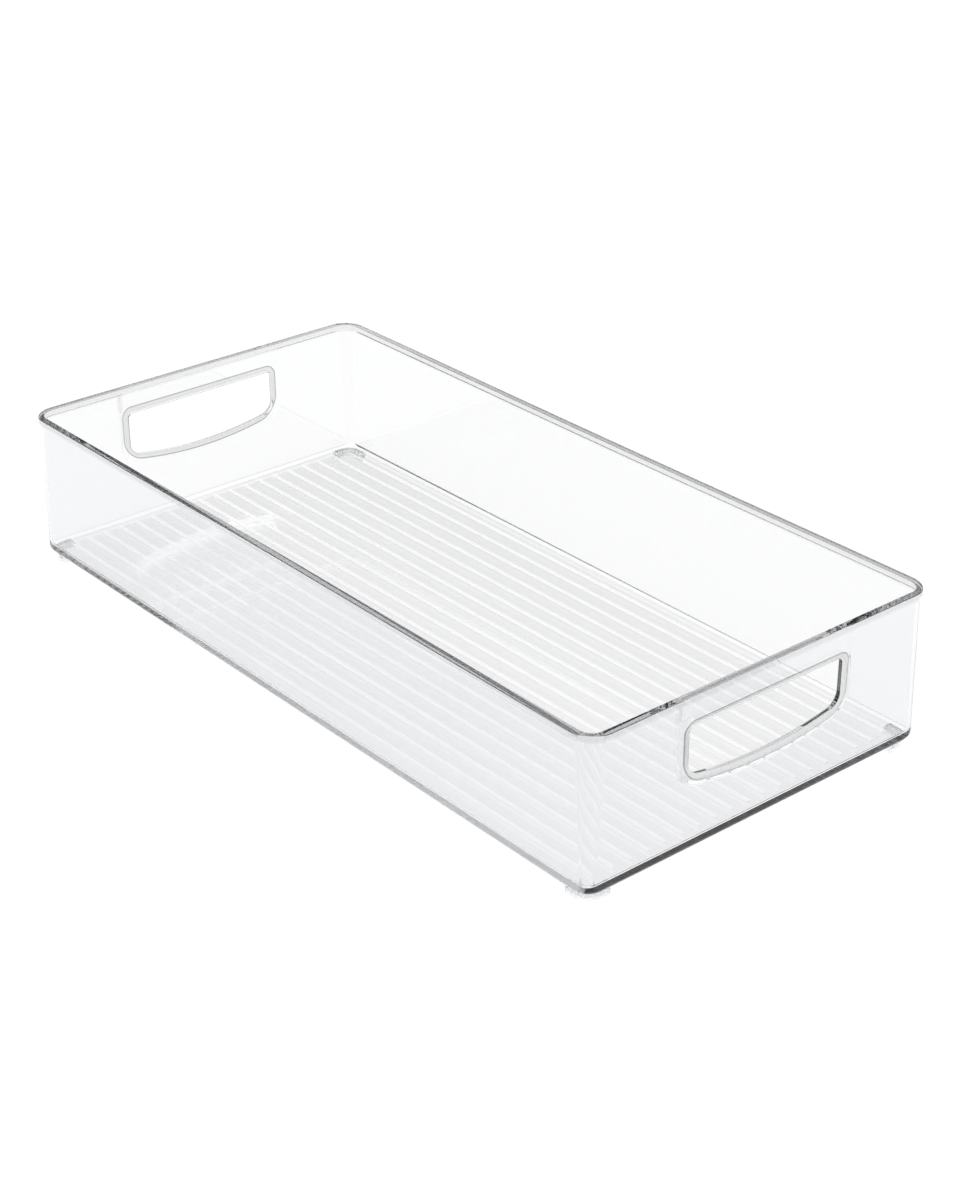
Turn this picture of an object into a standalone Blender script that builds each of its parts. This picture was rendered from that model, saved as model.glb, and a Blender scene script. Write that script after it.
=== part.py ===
"""Clear fridge bin: one moulded open tray with two finger openings and four soft corner feet.

+X runs along the length, +Y across, +Z up. The origin is the middle of the footprint at the
level the feet stand on.
"""
from math import asin, atan2, cos, degrees, pi, radians, sin, sqrt

import bpy

MM = 0.001

# overall size, millimetres
LENGTH = 412.0            # over the rim, end to end
WIDTH = 199.0             # over the rim, side to side
HEIGHT = 78.0             # floor level to the top of the rim
CORNER_RADIUS = 12.3      # rim outline in plan
WALL_CORNER_TOP = 8.7     # outer face of the walls, under the rim and above the fillet
WALL_CORNER_FOOT = 5.0
INNER_CORNER_TOP = 6.7
INNER_CORNER_FOOT = 3.0
CORNER_STEPS = 8

# feet
FOOT_HEIGHT = 3.2
FIT_GAP = 0.3             # clearance left between a foot and the tray
FOOT_CENTRE = 12.0        # centre of the arc, in from both rim lines
FOOT_INNER = 4.4          # radii about that centre
FOOT_OUTER = 8.9
FOOT_CHAMFER = 0.4
FOOT_LEG = 4.0            # straight run past each end of the corner arc
FOOT_STEPS = 8

# tray walls and floor
WALL = 2.0
RIM_OVERHANG = 1.7        # flat rim flange beyond the wall's outer face
RIM_THICK = 3.6
RIM_EDGE = 0.5            # rounding of the flange's outer edge
RIM_INNER_EDGE = 0.4
RIM_STEPS = 3
DRAFT = 0.1               # how far the walls lean in from rim to floor
FLOOR = 3.5
OUTER_FILLET = 2.5        # wall to underside
BASE_CORNER = 10.0        # outer corner radius at the underside, over the feet
BASE_RISE = 4.0           # height over which it tightens to the walls' own
BASE_STEPS = 2
INNER_FILLET = 2.0        # wall to floor, inside
FILLET_STEPS = 4

# ribs on the floor
RIB_COUNT = 19
RIB_PITCH = 9.6
RIB_WIDTH = 2.6
RIB_RISE = 0.3
RIB_HALF_LENGTH = 196.5
RIB_ROOT = 0.5            # sunk into the floor
# low swell, as shares of the half width and the rise
RIB_SECTION = ((1.0, 0.2), (0.5, 0.8), (0.0, 1.0), (-0.5, 0.8), (-1.0, 0.2))
# run in from a rib's end, and the share of the full section there
RIB_TAPER = ((0.0, 0.5), (1.0, 1.0))

# finger opening in each end wall
OPEN_HALF_WIDTH = 44.4
OPEN_TOP = 63.0
OPEN_BOTTOM = 36.1        # lowest point of the bowed lower edge
OPEN_BOW_RADIUS = 200.0
OPEN_LOW_CORNER = 7.0
OPEN_TOP_CORNER = 2.5
OPEN_LIP = 1.0            # rounded lip along the opening, inside
OPEN_FLARE = 3.6          # softer lip outside: width across the face, then depth
OPEN_FLARE_DEPTH = 1.2
OPEN_RUN_OUT = 2.0        # the cutter passes both faces by this much
LIP_ANGLES = (25, 47, 68, 90)
BOW_STEPS = 12
LOW_CORNER_STEPS = 6
TOP_CORNER_STEPS = 3

# raised pad round the opening, on the outside
PAD_MARGIN = 8.4
PAD_TOP = 75.2            # runs up into the rim flange
PAD_TUCK = 0.4            # crest behind the rim's outermost line
PAD_SUNK = 0.2            # the swell starts this far inside the wall
PAD_EDGE = 8.0            # width of the swell from the wall up to the pad's crest
PAD_EDGE_STEPS = 6
PAD_TOP_CORNER = 1.0

UNDERSIDE = FOOT_HEIGHT + FIT_GAP
FLOOR_TOP = UNDERSIDE + FLOOR
WALL_FOOT_INSET = RIM_OVERHANG + DRAFT
INNER_TOP_INSET = RIM_OVERHANG + WALL
INNER_FOOT_INSET = WALL_FOOT_INSET + WALL
FOOT_X = LENGTH / 2 - FOOT_CENTRE
FOOT_Y = WIDTH / 2 - FOOT_CENTRE


def clear_scene():
    for item in list(bpy.data.objects):
        bpy.data.objects.remove(item, do_unlink=True)


def plastic(name, colour, roughness, alpha):
    material = bpy.data.materials.new(name)
    material.use_nodes = True
    shader = material.node_tree.nodes["Principled BSDF"]
    shader.inputs["Base Color"].default_value = colour
    shader.inputs["Roughness"].default_value = roughness
    shader.inputs["Metallic"].default_value = 0.0
    shader.inputs["Alpha"].default_value = alpha
    return material


def tray_plastic():
    return plastic("clear_plastic", (0.90, 0.93, 0.93, 1.0), 0.06, 0.35)


def foot_plastic():
    return plastic("foot_plastic", (0.82, 0.84, 0.84, 1.0), 0.35, 0.7)


def mesh_object(name, points, faces, material):
    mesh = bpy.data.meshes.new(name)
    mesh.from_pydata([(x * MM, y * MM, z * MM) for x, y, z in points], [], faces)
    mesh.validate()
    mesh.materials.append(material)
    item = bpy.data.objects.new(name, mesh)
    bpy.context.scene.collection.objects.link(item)
    for polygon in mesh.polygons:
        polygon.use_smooth = True
    return item


def loft(name, loops, material):
    """Closed solid through loops of equal length, capped at both ends."""
    count = len(loops[0])
    points = [point for loop in loops for point in loop]
    faces = [tuple(reversed(range(count)))]
    for row in range(len(loops) - 1):
        low, high = row * count, (row + 1) * count
        for i in range(count):
            j = (i + 1) % count
            faces.append((low + i, low + j, high + j, high + i))
    last = (len(loops) - 1) * count
    faces.append(tuple(range(last, last + count)))
    return mesh_object(name, points, faces, material)


def plan_loop(inset, height, radius):
    """Rounded rectangle, counter-clockwise seen from above."""
    centre_x, centre_y = LENGTH / 2 - inset - radius, WIDTH / 2 - inset - radius
    loop = []
    for sx, sy, start in ((1, 1, 0), (-1, 1, 90), (-1, -1, 180), (1, -1, 270)):
        for step in range(CORNER_STEPS + 1):
            angle = radians(start + 90 * step / CORNER_STEPS)
            loop.append((sx * centre_x + radius * cos(angle),
                         sy * centre_y + radius * sin(angle), height))
    return loop


def blend(start, end, share):
    return start + (end - start) * share


def quarter(centre_inset, centre_height, radius, start, turn):
    """Quarter circle in the wall's section, from start, turning by turn; degrees."""
    angles = [radians(start + turn * step / RIM_STEPS) for step in range(RIM_STEPS + 1)]
    return [(centre_inset + radius * cos(a), centre_height + radius * sin(a)) for a in angles]


def rim_profile():
    """Flange from the crease under it, round its outer edge and over to the inner edge."""
    under = HEIGHT - RIM_THICK
    rim = [(RIM_OVERHANG, under)]
    rim += quarter(RIM_EDGE, under + RIM_EDGE, RIM_EDGE, 270, -90)
    under_rows = [(inset, height, blend(CORNER_RADIUS, WALL_CORNER_TOP, inset / RIM_OVERHANG))
                  for inset, height in rim]
    top = quarter(RIM_EDGE, HEIGHT - RIM_EDGE, RIM_EDGE, 180, -90)
    top += quarter(INNER_TOP_INSET - RIM_INNER_EDGE, HEIGHT - RIM_INNER_EDGE, RIM_INNER_EDGE, 90, -90)
    return under_rows + [(inset, height, blend(CORNER_RADIUS, INNER_CORNER_TOP, inset / INNER_TOP_INSET))
                         for inset, height in top]


def base_corner(rise):
    """Outer corner radius near the underside, where the corners round in over the feet."""
    return blend(WALL_CORNER_FOOT, BASE_CORNER, max(1 - rise / BASE_RISE, 0.0) ** 2)


def tray_profile():
    """Inset from the rim's outermost line, height and corner radius, underside to floor."""
    profile = []
    centre = WALL_FOOT_INSET + OUTER_FILLET
    for step in range(FILLET_STEPS + 1):
        angle = pi / 2 * step / FILLET_STEPS
        rise = OUTER_FILLET * (1 - cos(angle))
        profile.append((centre - OUTER_FILLET * sin(angle), UNDERSIDE + rise, base_corner(rise)))
    for step in range(1, BASE_STEPS + 1):
        rise = blend(OUTER_FILLET, BASE_RISE, step / BASE_STEPS)
        profile.append((WALL_FOOT_INSET, UNDERSIDE + rise, base_corner(rise)))
    profile += rim_profile()
    centre = INNER_FOOT_INSET + INNER_FILLET
    for step in range(FILLET_STEPS + 1):
        angle = pi / 2 * step / FILLET_STEPS
        profile.append((centre - INNER_FILLET * cos(angle),
                        FLOOR_TOP + INNER_FILLET * (1 - sin(angle)),
                        INNER_CORNER_FOOT - INNER_FILLET * (1 - cos(angle))))
    return profile


def opening_outline(margin, top, top_corner):
    """Finger opening's outline in Y and Z, grown by margin, counter-clockwise in Y-Z."""
    half = OPEN_HALF_WIDTH + margin
    bow, low = OPEN_BOW_RADIUS + margin, OPEN_LOW_CORNER + margin
    bow_centre = OPEN_BOTTOM + OPEN_BOW_RADIUS
    low_y = half - low
    low_z = bow_centre - sqrt((bow - low) ** 2 - low_y ** 2)
    swing = asin(low_y / (bow - low))
    outline = []
    for step in range(BOW_STEPS + 1):
        angle = -swing + 2 * swing * step / BOW_STEPS
        outline.append((bow * sin(angle), bow_centre - bow * cos(angle)))
    start = swing - pi / 2
    right = [(low_y + low * cos(start - start * step / LOW_CORNER_STEPS),
              low_z + low * sin(start - start * step / LOW_CORNER_STEPS))
             for step in range(1, LOW_CORNER_STEPS + 1)]
    for step in range(TOP_CORNER_STEPS + 1):
        angle = pi / 2 * step / TOP_CORNER_STEPS
        right.append((half - top_corner * (1 - cos(angle)), top - top_corner * (1 - sin(angle))))
    return outline + right + [(-y, z) for y, z in reversed(right)]


def end_loft(name, side, sections, material):
    """Loft along X for the +X end, turned about Z for the other end."""
    loops = [[(side * x, side * y, z) for x, y, z in section] for section in sections]
    return loft(name, loops, material)


def pad_sections():
    root = LENGTH / 2 - RIM_OVERHANG - WALL / 2
    sections = [[(root, y, z) for y, z in opening_outline(PAD_MARGIN, PAD_TOP, PAD_TOP_CORNER)]]
    wall_face = LENGTH / 2 - RIM_OVERHANG - DRAFT - PAD_SUNK
    crest = LENGTH / 2 - PAD_TUCK
    for step in range(PAD_EDGE_STEPS + 1):
        share = step / PAD_EDGE_STEPS
        rise = 0.5 - 0.5 * cos(pi * share)
        outline = opening_outline(PAD_MARGIN - PAD_EDGE * share, PAD_TOP, PAD_TOP_CORNER)
        sections.append([(wall_face + (crest - wall_face) * rise, y, z) for y, z in outline])
    return sections


def opening_sections():
    middle = (OPEN_TOP + OPEN_BOTTOM) / 2
    lean = DRAFT * (HEIGHT - middle) / HEIGHT
    inner_face = LENGTH / 2 - INNER_TOP_INSET - lean
    outer_face = LENGTH / 2 - PAD_TUCK
    lip = [(1 - cos(radians(a)), 1 - sin(radians(a))) for a in LIP_ANGLES]
    stations = [(inner_face - OPEN_RUN_OUT, lip[0][1] * OPEN_LIP)]
    stations += [(inner_face + depth * OPEN_LIP, grow * OPEN_LIP) for depth, grow in lip]
    stations += [(outer_face - depth * OPEN_FLARE_DEPTH, grow * OPEN_FLARE)
                 for depth, grow in reversed(lip)]
    stations += [(outer_face + OPEN_RUN_OUT, lip[0][1] * OPEN_FLARE)]
    return [[(x, y, z) for y, z in opening_outline(grow, OPEN_TOP + grow, OPEN_TOP_CORNER + grow)]
            for x, grow in stations]


def rib_solids(name, material):
    """All floor ribs: low swells whose ends taper down."""
    half = RIB_WIDTH / 2
    stations = [(-RIB_HALF_LENGTH + run, scale) for run, scale in RIB_TAPER]
    stations += [(RIB_HALF_LENGTH - run, scale) for run, scale in reversed(RIB_TAPER)]
    points, faces = [], []
    for index in range(RIB_COUNT):
        centre = (index - (RIB_COUNT - 1) / 2) * RIB_PITCH
        base = len(points)
        size = len(RIB_SECTION) + 2
        for x, scale in stations:
            loop = [(half * scale, -RIB_ROOT)]
            loop += [(half * y * scale, RIB_RISE * rise * scale) for y, rise in RIB_SECTION]
            loop += [(-half * scale, -RIB_ROOT)]
            points += [(x, centre + y, FLOOR_TOP + z) for y, z in loop]
        faces.append(tuple(base + i for i in reversed(range(size))))
        for row in range(len(stations) - 1):
            low, high = base + row * size, base + (row + 1) * size
            for i in range(size):
                j = (i + 1) % size
                faces.append((low + i, low + j, high + j, high + i))
        last = base + (len(stations) - 1) * size
        faces.append(tuple(last + i for i in range(size)))
    return mesh_object(name, points, faces, material)


def combine(target, tool, operation):
    tool.hide_render = True
    tool.display_type = "WIRE"
    step = target.modifiers.new(tool.name, "BOOLEAN")
    step.operation = operation
    step.solver = "EXACT"
    step.object = tool


def build_tray(material):
    loops = [plan_loop(*row) for row in tray_profile()]
    tray = loft("bin_body", loops, material)
    for side, end in ((1, "right"), (-1, "left")):
        combine(tray, end_loft("pad_" + end, side, pad_sections(), material), "UNION")
    combine(tray, rib_solids("ribs", material), "UNION")
    for side, end in ((1, "right"), (-1, "left")):
        combine(tray, end_loft("opening_" + end, side, opening_sections(), material), "DIFFERENCE")
    return tray


def foot_profile():
    """Radius about the foot's centre and height."""
    return [(FOOT_INNER + FOOT_CHAMFER, 0.0), (FOOT_OUTER - FOOT_CHAMFER, 0.0),
            (FOOT_OUTER, FOOT_CHAMFER), (FOOT_OUTER, FOOT_HEIGHT), (FOOT_INNER, FOOT_HEIGHT),
            (FOOT_INNER, FOOT_CHAMFER)]


def build_foot(name, sx, sy, material):
    """Corner foot: an arc with a short straight leg along each wall."""
    heading = degrees(atan2(sy, sx)) - 45
    stations = [(0.0, -FOOT_LEG)]
    stations += [(90 * step / FOOT_STEPS, 0.0) for step in range(FOOT_STEPS + 1)]
    stations += [(90.0, FOOT_LEG)]
    loops = []
    for turn, along in stations:
        angle = radians(heading + turn)
        out, side = (cos(angle), sin(angle)), (-sin(angle), cos(angle))
        loops.append([(sx * FOOT_X + radius * out[0] + along * side[0],
                       sy * FOOT_Y + radius * out[1] + along * side[1], height)
                      for radius, height in reversed(foot_profile())])
    return loft(name, loops, material)


clear_scene()
build_tray(tray_plastic())
SOFT = foot_plastic()
for foot_name, foot_sx, foot_sy in (("foot_front_left", -1, -1), ("foot_front_right", 1, -1),
                                    ("foot_back_left", -1, 1), ("foot_back_right", 1, 1)):
    build_foot(foot_name, foot_sx, foot_sy, SOFT)
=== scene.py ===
"""Looks for the clear fridge bin: finely meshed clear tray, milky corner feet, pale studio."""
from math import asin, atan2, cos, degrees, pi, radians, sin, sqrt

import bpy
from mathutils import Matrix, Vector


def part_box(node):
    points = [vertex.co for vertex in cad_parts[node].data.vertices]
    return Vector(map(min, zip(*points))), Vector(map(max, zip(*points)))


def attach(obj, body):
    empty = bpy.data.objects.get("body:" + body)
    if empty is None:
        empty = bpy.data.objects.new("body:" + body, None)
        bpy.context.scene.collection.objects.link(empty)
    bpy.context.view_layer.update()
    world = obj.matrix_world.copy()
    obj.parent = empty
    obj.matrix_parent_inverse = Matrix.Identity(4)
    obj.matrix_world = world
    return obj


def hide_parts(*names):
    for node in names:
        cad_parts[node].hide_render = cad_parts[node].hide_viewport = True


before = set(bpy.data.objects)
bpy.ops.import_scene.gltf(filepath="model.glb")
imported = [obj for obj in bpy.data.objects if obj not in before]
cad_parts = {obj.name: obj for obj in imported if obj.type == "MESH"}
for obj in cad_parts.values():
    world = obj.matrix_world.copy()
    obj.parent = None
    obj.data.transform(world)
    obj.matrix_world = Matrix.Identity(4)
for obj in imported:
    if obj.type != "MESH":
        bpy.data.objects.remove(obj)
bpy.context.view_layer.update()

MM = 0.001

# overall size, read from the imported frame; millimetres
BODY_LOW, BODY_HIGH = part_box("bin_body")
LENGTH = (BODY_HIGH[0] - BODY_LOW[0]) / MM
WIDTH = (BODY_HIGH[1] - BODY_LOW[1]) / MM
HEIGHT = BODY_HIGH[2] / MM
UNDERSIDE = BODY_LOW[2] / MM

CORNER_RADIUS = 12.3      # rim outline in plan
WALL_CORNER_TOP = 8.7     # outer face of the walls, under the rim and above the fillet
WALL_CORNER_FOOT = 5.0
INNER_CORNER_TOP = 6.7    # and their inner face
INNER_CORNER_FOOT = 3.0
CORNER_STEPS = 28
LONG_STEPS = 36           # divisions along the long and the short sides
SHORT_STEPS = 16
BOW_IN = 0.8              # how far the long walls bow in at the rim, mid-length

WALL = 2.0
RIM_OVERHANG = 1.7        # flat rim flange beyond the wall's outer face
RIM_THICK = 3.6
RIM_EDGE = 0.5            # rounding of the flange's outer edge
RIM_INNER_EDGE = 0.4
RIM_FILLET = 0.4          # under the flange, to the wall
RIM_STEPS = 8
DRAFT = 0.1               # how far the walls lean in from rim to floor
FLOOR = 3.5
OUTER_FILLET = 2.5        # wall to underside
BASE_CORNER = 10.0        # outer corner radius at the underside, over the feet
BASE_RISE = 4.0           # height over which it tightens to the walls' own
BASE_STEPS = 5
INNER_FILLET = 2.0        # wall to floor, inside
FILLET_STEPS = 10

RIB_COUNT = 19
RIB_PITCH = 9.6
RIB_WIDTH = 2.6
RIB_RISE = 0.14
RIB_HALF_LENGTH = 196.5
RIB_ROOT = 0.5            # sunk into the floor
RIB_STEPS = 14
RIB_END = 0.8             # length of a rib's rounded end, and its lowest share of the rise
RIB_END_LOW = 0.12
RIB_END_STEPS = 5

OPEN_HALF_WIDTH = 44.4
OPEN_TOP = 63.0
OPEN_BOTTOM = 36.1        # lowest point of the bowed lower edge
OPEN_BOW_RADIUS = 200.0
OPEN_LOW_CORNER = 7.0
OPEN_TOP_CORNER = 2.5
OPEN_LIP = 1.0            # rounded lip along the opening, inside
OPEN_FLARE = 3.6          # softer lip outside: width across the face, then depth
OPEN_FLARE_DEPTH = 1.2
OPEN_RUN_OUT = 2.0        # the cutter passes both faces by this much
LIP_START = 20            # degrees into the quarter circle that rounds each lip
LIP_STEPS = 7
BOW_STEPS = 28
LOW_CORNER_STEPS = 14
TOP_CORNER_STEPS = 8

PAD_MARGIN = 8.4          # raised pad round the opening
PAD_TOP = 75.2            # runs up into the rim flange
PAD_TUCK = 0.4            # crest behind the rim's outermost line
PAD_SUNK = 0.2            # the swell starts this far inside the wall
PAD_EDGE = 8.0            # width of the swell from the wall up to the pad's crest
PAD_EDGE_STEPS = 20
PAD_TOP_CORNER = 1.0

FOOT_HEIGHT = 3.2
FOOT_CENTRE = 12.0        # centre of the arc, in from both rim lines
FOOT_INNER = 4.4          # radii about that centre
FOOT_OUTER = 8.9
FOOT_ROUND = 0.5
FOOT_ROUND_STEPS = 4
FOOT_LEG = 4.0            # straight run past each end of the arc
FOOT_STEPS = 24

CREASE = 35               # edges sharper than this many degrees stay sharp
FLAT_FACE_WEIGHT = 80     # large faces keep their own normal

# clear plastic
CLEAR_IOR = 1.53
CLEAR_ROUGHNESS = (0.0, 0.003)
HAZE_SCALE = 60.0
WAVE_SCALE = 22.0         # moulding waves: noise scale, strength and depth in metres
WAVE_STRENGTH = 0.04
WAVE_DEPTH = 0.0002
DEPTH_COLOUR = (0.85, 0.855, 0.865, 1.0)
DEPTH_DENSITY = 15.0
CLEAR_TINT = (0.932, 0.935, 0.941)
FLOOR_PAINTED_LIGHT = 1.035       # painted light: the tint is lighter across the floor, and more so on the ribs as a painted highlight
RIB_PAINTED_HIGHLIGHT = 1.075
RIB_FADE = (0.02, 0.07)   # height above the floor over which the ribs' painted highlight comes in
FLOOR_FADE = (0.3, INNER_FILLET)  # and over which the painted light gives way to the walls' tint
RIM_SIDE_PAINTED_SHADE = 0.86      # painted shade: base grey of the rim flange's sides, then of its flat top
RIM_TOP_PAINTED_SHADE = 0.56
RIM_SIDE_FADE = 0.3       # height below the flange over which its painted shade comes in
RIM_TOP_FADE = (0.4, 0.1)  # below the rim's top: the top's painted shade starts, is full
LIP_PAINTED_SHADE = 0.62           # and painted shade of the raised lip, then of the dark line where it ends
LIP_LINE_PAINTED_SHADE = 0.06
LIP_LINE = (2.7, 3.2, 3.7)  # out from the opening: the painted dark line starts, is darkest, ends
LIP_FACE = (2.8, 2.4)     # in from the outermost line: the lip's painted shade starts, is full

# soft feet
FOOT_GLOW = 0.02          # stands in for light scattered inside the milky feet
FOOT_IOR = 1.45
FOOT_TRANSMISSION = 0.6
FOOT_TINTS = ((0.93, 0.95, 0.95, 1.0), (0.97, 0.98, 0.98, 1.0))
FOOT_CLOUD_SCALE = 300.0
FOOT_FROST_SCALE = 500.0
FOOT_ROUGHNESS = (0.2, 0.32)

# studio
FLOOR_SIZE = 4000         # half the floor's side
FLOOR_GREY = 0.1
FLOOR_GLOW = 0.955
FLOOR_SPECULAR = 0.2
FLOOR_NOISE_SCALE = 3.0
FLOOR_ROUGHNESS = (0.6, 0.7)
WHITE = (1.0, 1.0, 1.0, 1.0)
NOISE_DETAIL = 2.0
# dark bands: elevation in degrees and grey, for the far side of the set and all round it
FAR_HEADING = 141
FAR_SPREAD = (28, 36)
FAR_BANDS = ((20, 1.0), (23, 0.15), (36, 0.15), (38.5, 1.0))
SIDE_BANDS = ((7, 1.0), (17, 0.1), (40, 0.1), (55, 1.0))
SKY_STRENGTH = 1.5
LENS = 72.10
EYE = Vector((0.7771, -0.6330, 0.5506))
AIM = Vector((-0.0263, 0.0412, -0.0019))
ROLL = -0.0015
CLEAR_BOUNCES = 40        # light passes many faces inside the tray

FLOOR_TOP = UNDERSIDE + FLOOR
WALL_FOOT_INSET = RIM_OVERHANG + DRAFT
INNER_TOP_INSET = RIM_OVERHANG + WALL
INNER_FOOT_INSET = WALL_FOOT_INSET + WALL
CORNER_X = LENGTH / 2 - CORNER_RADIUS
CORNER_Y = WIDTH / 2 - CORNER_RADIUS
FOOT_X = LENGTH / 2 - FOOT_CENTRE
FOOT_Y = WIDTH / 2 - FOOT_CENTRE


# ---- meshes -------------------------------------------------------------------------

def mesh_object(name, points, faces):
    mesh = bpy.data.meshes.new(name)
    mesh.from_pydata([(x * MM, y * MM, z * MM) for x, y, z in points], [], faces)
    item = bpy.data.objects.new(name, mesh)
    bpy.context.scene.collection.objects.link(item)
    return item


def loft(name, loops):
    """Closed solid through loops of equal length, capped at both ends."""
    count = len(loops[0])
    points = [point for loop in loops for point in loop]
    faces = [tuple(reversed(range(count)))]
    for row in range(len(loops) - 1):
        low, high = row * count, (row + 1) * count
        for i in range(count):
            j = (i + 1) % count
            faces.append((low + i, low + j, high + j, high + i))
    last = (len(loops) - 1) * count
    faces.append(tuple(range(last, last + count)))
    return mesh_object(name, points, faces)


def plan_loop(inset, height, radius):
    """Rounded rectangle with divided sides; the long sides bow in towards the rim."""
    centre_x, centre_y = LENGTH / 2 - inset - radius, WIDTH / 2 - inset - radius
    loop = []
    for sx, sy, start, steps in ((1, 1, 0, LONG_STEPS), (-1, 1, 90, SHORT_STEPS),
                                 (-1, -1, 180, LONG_STEPS), (1, -1, 270, SHORT_STEPS)):
        for step in range(CORNER_STEPS + 1):
            angle = radians(start + 90 * step / CORNER_STEPS)
            loop.append((sx * centre_x + radius * cos(angle), sy * centre_y + radius * sin(angle)))
        end = loop[-1]
        if steps == LONG_STEPS:
            following = (-sx * centre_x, end[1])
        else:
            following = (end[0], -sy * centre_y)
        for step in range(1, steps):
            share = step / steps
            loop.append((end[0] + (following[0] - end[0]) * share,
                         end[1] + (following[1] - end[1]) * share))
    lift = max(height - UNDERSIDE, 0.0) / (HEIGHT - UNDERSIDE)
    bowed = []
    for x, y in loop:
        along = min(abs(x) / CORNER_X, 1.0)
        pull = BOW_IN * lift * cos(pi / 2 * along) ** 2 * min(abs(y) / CORNER_Y, 1.0)
        bowed.append((x, y - pull * (1 if y > 0 else -1), height))
    return bowed


def blend(start, end, share):
    return start + (end - start) * share


def quarter(centre, radius, start, turn):
    """Quarter circle in the wall's section, from start, turning by turn; degrees."""
    return [(centre[0] + radius * cos(radians(start + turn * step / RIM_STEPS)),
             centre[1] + radius * sin(radians(start + turn * step / RIM_STEPS)))
            for step in range(RIM_STEPS + 1)]


def rim_profile():
    """Flange from the crease under it, round its outer edge and over to the inner edge."""
    under = HEIGHT - RIM_THICK
    rim = quarter((RIM_OVERHANG - RIM_FILLET, under - RIM_FILLET), RIM_FILLET, 0, 90)
    rim += quarter((RIM_EDGE, under + RIM_EDGE), RIM_EDGE, 270, -90)
    under_rows = [(inset, height, blend(CORNER_RADIUS, WALL_CORNER_TOP, inset / RIM_OVERHANG))
                  for inset, height in rim]
    top = quarter((RIM_EDGE, HEIGHT - RIM_EDGE), RIM_EDGE, 180, -90)
    top += quarter((INNER_TOP_INSET - RIM_INNER_EDGE, HEIGHT - RIM_INNER_EDGE),
                   RIM_INNER_EDGE, 90, -90)
    return under_rows + [(inset, height,
                          blend(CORNER_RADIUS, INNER_CORNER_TOP, inset / INNER_TOP_INSET))
                         for inset, height in top]


def base_corner(rise):
    """Outer corner radius near the underside, where the corners round in over the feet."""
    return blend(WALL_CORNER_FOOT, BASE_CORNER, max(1 - rise / BASE_RISE, 0.0) ** 2)


def tray_profile():
    """Inset from the rim's outermost line, height and corner radius, underside to floor."""
    profile = []
    centre = WALL_FOOT_INSET + OUTER_FILLET
    for step in range(FILLET_STEPS + 1):
        angle = pi / 2 * step / FILLET_STEPS
        rise = OUTER_FILLET * (1 - cos(angle))
        profile.append((centre - OUTER_FILLET * sin(angle), UNDERSIDE + rise, base_corner(rise)))
    for step in range(1, BASE_STEPS + 1):
        rise = blend(OUTER_FILLET, BASE_RISE, step / BASE_STEPS)
        profile.append((WALL_FOOT_INSET, UNDERSIDE + rise, base_corner(rise)))
    profile += rim_profile()
    centre = INNER_FOOT_INSET + INNER_FILLET
    for step in range(FILLET_STEPS + 1):
        angle = pi / 2 * step / FILLET_STEPS
        profile.append((centre - INNER_FILLET * cos(angle),
                        FLOOR_TOP + INNER_FILLET * (1 - sin(angle)),
                        INNER_CORNER_FOOT - INNER_FILLET * (1 - cos(angle))))
    return profile


def opening_outline(margin, top, top_corner):
    """Finger opening's outline in Y and Z, grown by margin, counter-clockwise in Y-Z."""
    half = OPEN_HALF_WIDTH + margin
    bow, low = OPEN_BOW_RADIUS + margin, OPEN_LOW_CORNER + margin
    bow_centre = OPEN_BOTTOM + OPEN_BOW_RADIUS
    low_y = half - low
    low_z = bow_centre - sqrt((bow - low) ** 2 - low_y ** 2)
    swing = asin(low_y / (bow - low))
    outline = []
    for step in range(BOW_STEPS + 1):
        angle = -swing + 2 * swing * step / BOW_STEPS
        outline.append((bow * sin(angle), bow_centre - bow * cos(angle)))
    start = swing - pi / 2
    right = [(low_y + low * cos(start - start * step / LOW_CORNER_STEPS),
              low_z + low * sin(start - start * step / LOW_CORNER_STEPS))
             for step in range(1, LOW_CORNER_STEPS + 1)]
    for step in range(TOP_CORNER_STEPS + 1):
        angle = pi / 2 * step / TOP_CORNER_STEPS
        right.append((half - top_corner * (1 - cos(angle)), top - top_corner * (1 - sin(angle))))
    return outline + right + [(-y, z) for y, z in reversed(right)]


def end_loft(name, side, sections):
    """Loft along X for the +X end, turned about Z for the other end."""
    return loft(name, [[(side * x, side * y, z) for x, y, z in section] for section in sections])


def pad_sections():
    root = LENGTH / 2 - RIM_OVERHANG - WALL / 2
    sections = [[(root, y, z) for y, z in opening_outline(PAD_MARGIN, PAD_TOP, PAD_TOP_CORNER)]]
    wall_face = LENGTH / 2 - RIM_OVERHANG - DRAFT - PAD_SUNK
    crest = LENGTH / 2 - PAD_TUCK
    for step in range(PAD_EDGE_STEPS + 1):
        share = step / PAD_EDGE_STEPS
        rise = 0.5 - 0.5 * cos(pi * share)
        outline = opening_outline(PAD_MARGIN - PAD_EDGE * share, PAD_TOP, PAD_TOP_CORNER)
        sections.append([(wall_face + (crest - wall_face) * rise, y, z) for y, z in outline])
    return sections


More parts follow.
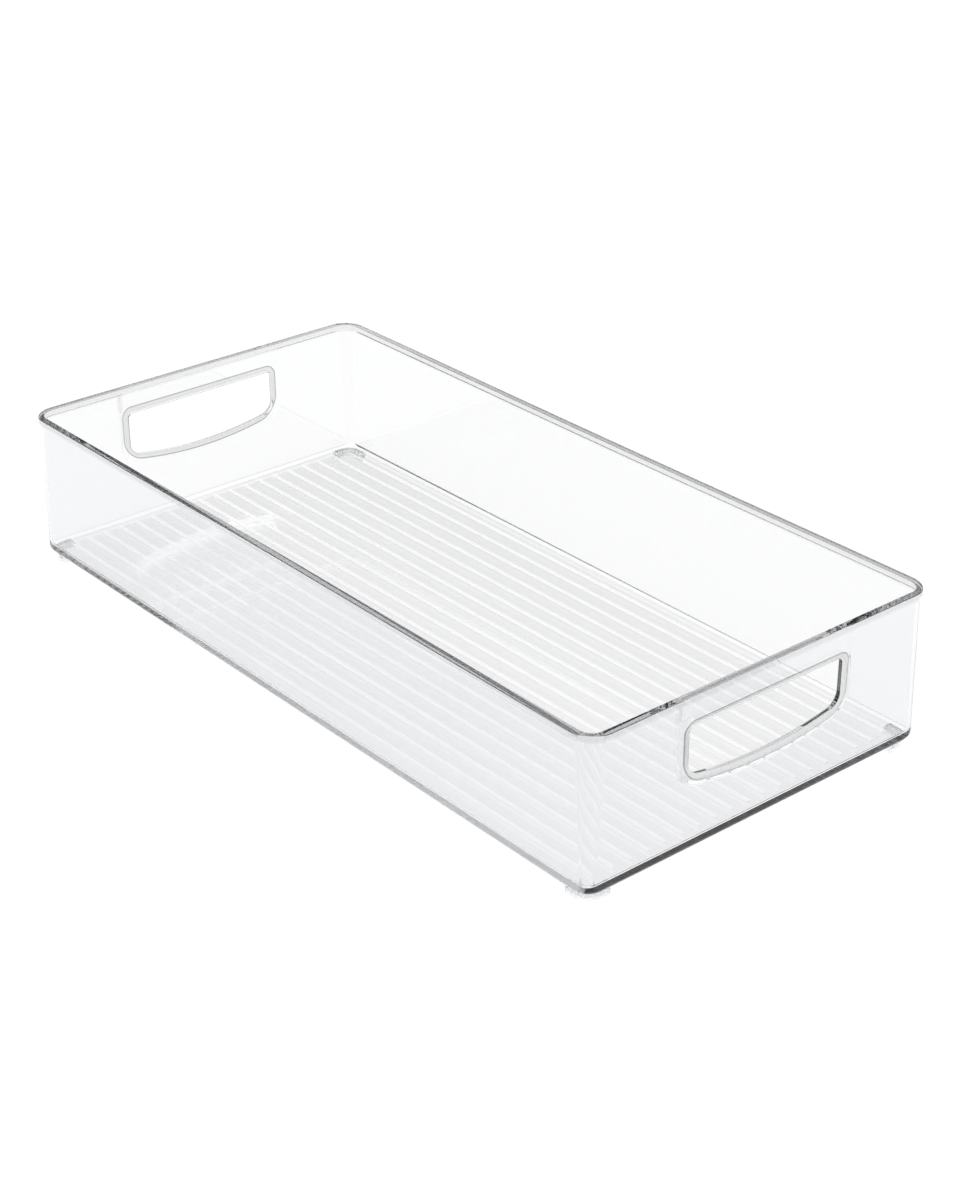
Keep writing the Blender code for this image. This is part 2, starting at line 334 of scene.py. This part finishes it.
def opening_sections():
    middle = (OPEN_TOP + OPEN_BOTTOM) / 2
    lean = DRAFT * (HEIGHT - middle) / HEIGHT
    inner_face = LENGTH / 2 - INNER_TOP_INSET - lean
    outer_face = LENGTH / 2 - PAD_TUCK
    lip = []
    for step in range(LIP_STEPS + 1):
        angle = radians(LIP_START + (90 - LIP_START) * step / LIP_STEPS)
        lip.append((1 - cos(angle), 1 - sin(angle)))
    stations = [(inner_face - OPEN_RUN_OUT, lip[0][1] * OPEN_LIP)]
    stations += [(inner_face + depth * OPEN_LIP, grow * OPEN_LIP) for depth, grow in lip]
    stations += [(outer_face - depth * OPEN_FLARE_DEPTH, grow * OPEN_FLARE)
                 for depth, grow in reversed(lip)]
    stations += [(outer_face + OPEN_RUN_OUT, lip[0][1] * OPEN_FLARE)]
    return [[(x, y, z) for y, z in opening_outline(grow, OPEN_TOP + grow, OPEN_TOP_CORNER + grow)]
            for x, grow in stations]


def rib_solids(name):
    """All floor ribs: low swells across the floor, with rounded ends."""
    half = RIB_WIDTH / 2
    section = []
    for step in range(RIB_STEPS + 1):
        across = 1 - 2 * step / RIB_STEPS
        section.append((half * across, RIB_RISE * (0.5 + 0.5 * cos(pi * across))))
    section = [(half, -RIB_ROOT)] + section + [(-half, -RIB_ROOT)]
    turns = [pi / 2 * step / RIB_END_STEPS for step in range(RIB_END_STEPS + 1)]
    ends = [(RIB_END * (1 - cos(turn)), max(sin(turn), RIB_END_LOW)) for turn in turns]
    stations = [(-RIB_HALF_LENGTH + run, scale) for run, scale in ends]
    stations += [(RIB_HALF_LENGTH - run, scale) for run, scale in reversed(ends)]
    points, faces = [], []
    size = len(section)
    for index in range(RIB_COUNT):
        centre = (index - (RIB_COUNT - 1) / 2) * RIB_PITCH
        base = len(points)
        for x, scale in stations:
            points += [(x, centre + y * scale, FLOOR_TOP + (z * scale if z > 0 else z))
                       for y, z in section]
        faces.append(tuple(base + i for i in reversed(range(size))))
        for row in range(len(stations) - 1):
            low, high = base + row * size, base + (row + 1) * size
            for i in range(size):
                j = (i + 1) % size
                faces.append((low + i, low + j, high + j, high + i))
        last = base + (len(stations) - 1) * size
        faces.append(tuple(last + i for i in range(size)))
    return mesh_object(name, points, faces)


def combine(target, tool, operation):
    step = target.modifiers.new(tool.name, "BOOLEAN")
    step.operation = operation
    step.solver = "EXACT"
    step.object = tool


def settle(item, tools):
    """Applies the modifiers, removes the tools and shades smooth but for creases."""
    graph = bpy.context.evaluated_depsgraph_get()
    mesh = bpy.data.meshes.new_from_object(item.evaluated_get(graph))
    item.modifiers.clear()
    item.data = mesh
    for tool in tools:
        bpy.data.objects.remove(tool, do_unlink=True)
    mesh.shade_smooth()
    mesh.set_sharp_from_angle(angle=radians(CREASE))
    weigh = item.modifiers.new("weighted", "WEIGHTED_NORMAL")
    weigh.keep_sharp = True
    weigh.weight = FLAT_FACE_WEIGHT
    return item


def build_tray():
    tray = loft("clear_tray", [plan_loop(*row) for row in tray_profile()])
    tools = []
    for side, end in ((1, "right"), (-1, "left")):
        tools.append(end_loft("pad_" + end, side, pad_sections()))
        combine(tray, tools[-1], "UNION")
    tools.append(rib_solids("ribs"))
    combine(tray, tools[-1], "UNION")
    for side, end in ((1, "right"), (-1, "left")):
        tools.append(end_loft("opening_" + end, side, opening_sections()))
        combine(tray, tools[-1], "DIFFERENCE")
    return settle(tray, tools)


def foot_profile():
    """Radius about the foot's centre and height, with every long edge rounded."""
    profile = []
    for radius, height, start in ((FOOT_OUTER - FOOT_ROUND, FOOT_ROUND, 270),
                                  (FOOT_OUTER - FOOT_ROUND, FOOT_HEIGHT - FOOT_ROUND, 0),
                                  (FOOT_INNER + FOOT_ROUND, FOOT_HEIGHT - FOOT_ROUND, 90),
                                  (FOOT_INNER + FOOT_ROUND, FOOT_ROUND, 180)):
        for step in range(FOOT_ROUND_STEPS + 1):
            angle = radians(start + 90 * step / FOOT_ROUND_STEPS)
            profile.append((radius + FOOT_ROUND * cos(angle), height + FOOT_ROUND * sin(angle)))
    return profile


def build_foot(name, sx, sy):
    heading = degrees(atan2(sy, sx)) - 45
    stations = [(0.0, -FOOT_LEG)]
    stations += [(90 * step / FOOT_STEPS, 0.0) for step in range(FOOT_STEPS + 1)]
    stations += [(90.0, FOOT_LEG)]
    loops = []
    for turn, along in stations:
        angle = radians(heading + turn)
        out, side = (cos(angle), sin(angle)), (-sin(angle), cos(angle))
        loops.append([(sx * FOOT_X + radius * out[0] + along * side[0],
                       sy * FOOT_Y + radius * out[1] + along * side[1], height)
                      for radius, height in reversed(foot_profile())])
    return settle(loft(name, loops), [])


# ---- materials ----------------------------------------------------------------------

def shader_material(name):
    material = bpy.data.materials.new(name)
    material.use_nodes = True
    return material, material.node_tree, material.node_tree.nodes["Principled BSDF"]


def noise_to(tree, scale, low, high, place):
    """Soft noise between two values."""
    noise = tree.nodes.new("ShaderNodeTexNoise")
    noise.inputs["Scale"].default_value = scale
    noise.inputs["Detail"].default_value = NOISE_DETAIL
    tree.links.new(place, noise.inputs["Vector"])
    spread = tree.nodes.new("ShaderNodeMapRange")
    spread.inputs["To Min"].default_value = low
    spread.inputs["To Max"].default_value = high
    tree.links.new(noise.outputs["Fac"], spread.inputs["Value"])
    return spread.outputs["Result"]


def math_node(tree, operation, *values):
    node = tree.nodes.new("ShaderNodeMath")
    node.operation = operation
    for socket, value in zip(node.inputs, values):
        if isinstance(value, (int, float)):
            socket.default_value = value
        else:
            tree.links.new(value, socket)
    return node.outputs["Value"]


def fade(tree, value, start, end, low, high):
    """Runs from low to high while value runs from start to end."""
    node = tree.nodes.new("ShaderNodeMapRange")
    node.inputs["From Min"].default_value, node.inputs["From Max"].default_value = start, end
    node.inputs["To Min"].default_value, node.inputs["To Max"].default_value = low, high
    tree.links.new(value, node.inputs["Value"])
    return node.outputs["Result"]


def corner_distance(tree, first, second, radius):
    """Distance past two edges that meet in a rounded corner."""
    squares = []
    for past in (first, second):
        reach = math_node(tree, "MAXIMUM", math_node(tree, "ADD", past, radius), 0.0)
        squares.append(math_node(tree, "MULTIPLY", reach, reach))
    return math_node(tree, "SUBTRACT", math_node(tree, "SQRT", math_node(tree, "ADD", *squares)),
                     radius)


def painted_rim_shade(tree, z):
    """Painted shade: darker on the rim flange, most on its flat top."""
    side = fade(tree, z, (HEIGHT - RIM_THICK - RIM_SIDE_FADE) * MM, (HEIGHT - RIM_THICK) * MM,
                1.0, RIM_SIDE_PAINTED_SHADE)
    top = fade(tree, z, (HEIGHT - RIM_TOP_FADE[0]) * MM, (HEIGHT - RIM_TOP_FADE[1]) * MM,
               1.0, RIM_TOP_PAINTED_SHADE)
    return math_node(tree, "MULTIPLY", side, top)


def from_opening(tree, y, z):
    """Distance out from the finger openings' outline."""
    over = math_node(tree, "SUBTRACT", z, OPEN_TOP * MM)
    beside = math_node(tree, "SUBTRACT", math_node(tree, "ABSOLUTE", y), OPEN_HALF_WIDTH * MM)
    bow = math_node(tree, "MULTIPLY", math_node(tree, "MULTIPLY", y, y),
                    0.5 / (OPEN_BOW_RADIUS * MM))
    under = math_node(tree, "SUBTRACT", math_node(tree, "ADD", bow, OPEN_BOTTOM * MM), z)
    return math_node(tree, "MAXIMUM", corner_distance(tree, over, beside, OPEN_TOP_CORNER * MM),
                     corner_distance(tree, under, beside, OPEN_LOW_CORNER * MM))


def painted_lip_shade(tree, x, y, z):
    """Painted shade on the raised lip round the openings, outside, and a painted dark line where
    it ends.
    """
    away = from_opening(tree, y, z)
    lip = fade(tree, away, LIP_LINE[0] * MM, LIP_LINE[1] * MM, LIP_PAINTED_SHADE, LIP_LINE_PAINTED_SHADE)
    past = fade(tree, away, LIP_LINE[1] * MM, LIP_LINE[2] * MM, 0.0, 1.0)
    inside = fade(tree, math_node(tree, "ABSOLUTE", x), (LENGTH / 2 - LIP_FACE[0]) * MM,
                  (LENGTH / 2 - LIP_FACE[1]) * MM, 1.0, 0.0)
    plain = math_node(tree, "MAXIMUM", past, inside)
    rest = math_node(tree, "MULTIPLY", plain, math_node(tree, "SUBTRACT", 1.0, lip))
    return math_node(tree, "ADD", lip, rest)


def painted_floor_light(tree, z):
    """Painted light: lighter across the floor, with a painted highlight on its ribs."""
    rise = math_node(tree, "SUBTRACT", z, FLOOR_TOP * MM)
    rib = fade(tree, rise, RIB_FADE[0] * MM, RIB_FADE[1] * MM, FLOOR_PAINTED_LIGHT - 1.0, RIB_PAINTED_HIGHLIGHT - 1.0)
    low = fade(tree, rise, FLOOR_FADE[0] * MM, FLOOR_FADE[1] * MM, 1.0, 0.0)
    return math_node(tree, "ADD", math_node(tree, "MULTIPLY", rib, low), 1.0)


def clear_colour(tree, place):
    """The plastic's tint, with painted shade on the rim flange and the opening lips and painted
    light across the floor and ribs.
    """
    split = tree.nodes.new("ShaderNodeSeparateXYZ")
    tree.links.new(place, split.inputs["Vector"])
    x, y, z = (split.outputs[axis] for axis in "XYZ")
    # painted shade of the rim and lips, times the painted light of the floor and ribs
    edges = math_node(tree, "MULTIPLY", painted_rim_shade(tree, z), painted_lip_shade(tree, x, y, z))
    grey = math_node(tree, "MULTIPLY", edges, painted_floor_light(tree, z))
    colour = tree.nodes.new("ShaderNodeCombineColor")
    for channel, tint in zip(("Red", "Green", "Blue"), CLEAR_TINT):
        tree.links.new(math_node(tree, "MULTIPLY", grey, tint), colour.inputs[channel])
    return colour.outputs["Color"]


def clear_plastic():
    """Polished clear styrenic: faint moulding waves, a trace of haze, a cool tint with depth."""
    material, tree, shader = shader_material("clear_plastic_visual")
    place = tree.nodes.new("ShaderNodeTexCoord").outputs["Object"]
    # the base colour carries painted shade and painted light besides the plastic's tint
    tree.links.new(clear_colour(tree, place), shader.inputs["Base Color"])
    shader.inputs["Transmission Weight"].default_value = 1.0
    shader.inputs["IOR"].default_value = CLEAR_IOR
    tree.links.new(noise_to(tree, HAZE_SCALE, *CLEAR_ROUGHNESS, place), shader.inputs["Roughness"])
    wave = tree.nodes.new("ShaderNodeTexNoise")
    wave.inputs["Scale"].default_value = WAVE_SCALE
    wave.inputs["Detail"].default_value = 1.0
    tree.links.new(place, wave.inputs["Vector"])
    bump = tree.nodes.new("ShaderNodeBump")
    bump.inputs["Strength"].default_value = WAVE_STRENGTH
    bump.inputs["Distance"].default_value = WAVE_DEPTH
    tree.links.new(wave.outputs["Fac"], bump.inputs["Height"])
    tree.links.new(bump.outputs["Normal"], shader.inputs["Normal"])
    depth = tree.nodes.new("ShaderNodeVolumeAbsorption")
    depth.inputs["Color"].default_value = DEPTH_COLOUR
    depth.inputs["Density"].default_value = DEPTH_DENSITY
    tree.links.new(depth.outputs["Volume"], tree.nodes["Material Output"].inputs["Volume"])
    return material


def foot_plastic():
    """Soft translucent foot: milky, lightly frosted."""
    material, tree, shader = shader_material("foot_plastic_visual")
    place = tree.nodes.new("ShaderNodeTexCoord").outputs["Object"]
    shader.inputs["Transmission Weight"].default_value = FOOT_TRANSMISSION
    shader.inputs["Emission Color"].default_value = WHITE
    shader.inputs["Emission Strength"].default_value = FOOT_GLOW
    shader.inputs["IOR"].default_value = FOOT_IOR
    tint = tree.nodes.new("ShaderNodeMix")
    tint.data_type = "RGBA"
    tint.inputs["A"].default_value, tint.inputs["B"].default_value = FOOT_TINTS
    tree.links.new(noise_to(tree, FOOT_CLOUD_SCALE, 0.0, 1.0, place), tint.inputs["Factor"])
    tree.links.new(tint.outputs["Result"], shader.inputs["Base Color"])
    tree.links.new(noise_to(tree, FOOT_FROST_SCALE, *FOOT_ROUGHNESS, place),
                   shader.inputs["Roughness"])
    return material


def floor_paint():
    """Pale floor, lit evenly by its own glow so that it shows no edge or shadow."""
    material, tree, shader = shader_material("pale_floor")
    place = tree.nodes.new("ShaderNodeTexCoord").outputs["Object"]
    shader.inputs["Base Color"].default_value = (FLOOR_GREY, FLOOR_GREY, FLOOR_GREY, 1.0)
    shader.inputs["Emission Color"].default_value = WHITE
    shader.inputs["Emission Strength"].default_value = FLOOR_GLOW
    shader.inputs["Specular IOR Level"].default_value = FLOOR_SPECULAR
    tree.links.new(noise_to(tree, FLOOR_NOISE_SCALE, *FLOOR_ROUGHNESS, place),
                   shader.inputs["Roughness"])
    return material


# ---- build --------------------------------------------------------------------------

CLEAR = clear_plastic()
SOFT = foot_plastic()

tray = build_tray()
tray.data.materials.clear()
tray.data.materials.append(CLEAR)
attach(tray, "root")
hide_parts("bin_body")

for foot_name, foot_sx, foot_sy in (("foot_front_left", -1, -1), ("foot_front_right", 1, -1),
                                    ("foot_back_left", -1, 1), ("foot_back_right", 1, 1)):
    foot = build_foot("soft_" + foot_name, foot_sx, foot_sy)
    foot.data.materials.append(SOFT)
    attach(foot, "root")
    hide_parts(foot_name)

# ---- studio -------------------------------------------------------------------------

def sky_ramp(tree, height, bands):
    """Grey against height, through four stops."""
    ramp = tree.nodes.new("ShaderNodeValToRGB")
    tree.links.new(height, ramp.inputs["Fac"])
    stops = ramp.color_ramp.elements
    stops.new(0.4)
    stops.new(0.6)
    for stop, (elevation, grey) in zip(stops, bands):
        stop.position = sin(radians(elevation))
        stop.color = (grey, grey, grey, 1.0)
    return ramp.outputs["Color"]


def colour_mix(tree, factor):
    mix = tree.nodes.new("ShaderNodeMix")
    mix.data_type = "RGBA"
    tree.links.new(factor, mix.inputs["Factor"])
    return mix


def studio_world():
    """White overhead and at the horizon, a dark band between; plain white to the camera."""
    world = bpy.data.worlds.new("studio")
    world.use_nodes = True
    tree = world.node_tree
    split = tree.nodes.new("ShaderNodeSeparateXYZ")
    tree.links.new(tree.nodes.new("ShaderNodeTexCoord").outputs["Generated"],
                   split.inputs["Vector"])
    heading = math_node(tree, "ARCTAN2", split.outputs["Y"], split.outputs["X"])
    aside = math_node(tree, "SUBTRACT", heading, radians(FAR_HEADING))
    sector = fade(tree, math_node(tree, "ABSOLUTE", aside), radians(FAR_SPREAD[0]),
                  radians(FAR_SPREAD[1]), 1.0, 0.0)
    sky = colour_mix(tree, sector)
    tree.links.new(sky_ramp(tree, split.outputs["Z"], SIDE_BANDS), sky.inputs["A"])
    tree.links.new(sky_ramp(tree, split.outputs["Z"], FAR_BANDS), sky.inputs["B"])
    shown = colour_mix(tree, tree.nodes.new("ShaderNodeLightPath").outputs["Is Camera Ray"])
    tree.links.new(sky.outputs["Result"], shown.inputs["A"])
    shown.inputs["B"].default_value = WHITE
    background = tree.nodes["Background"]
    tree.links.new(shown.outputs["Result"], background.inputs["Color"])
    background.inputs["Strength"].default_value = SKY_STRENGTH
    return world


floor = mesh_object("studio_floor", [(-FLOOR_SIZE, -FLOOR_SIZE, 0), (FLOOR_SIZE, -FLOOR_SIZE, 0),
                                     (FLOOR_SIZE, FLOOR_SIZE, 0), (-FLOOR_SIZE, FLOOR_SIZE, 0)],
                    [(0, 1, 2, 3)])
floor.data.materials.append(floor_paint())

camera_data = bpy.data.cameras.new("camera")
camera = bpy.data.objects.new("camera", camera_data)
camera_data.lens = LENS
camera_data.clip_start, camera_data.clip_end = 0.01, 100
camera.matrix_world = (Matrix.Translation(EYE)
                       @ (AIM - EYE).to_track_quat("-Z", "Y").to_matrix().to_4x4()
                       @ Matrix.Rotation(ROLL, 4, "Z"))

scene = bpy.context.scene
scene.collection.objects.link(camera)
scene.camera = camera
scene.world = studio_world()
scene.view_settings.view_transform = "Standard"
scene.cycles.max_bounces = CLEAR_BOUNCES
scene.cycles.transmission_bounces = CLEAR_BOUNCES
scene.cycles.glossy_bounces = CLEAR_BOUNCES
scene.cycles.diffuse_bounces = 2
scene.cycles.transparent_max_bounces = 16
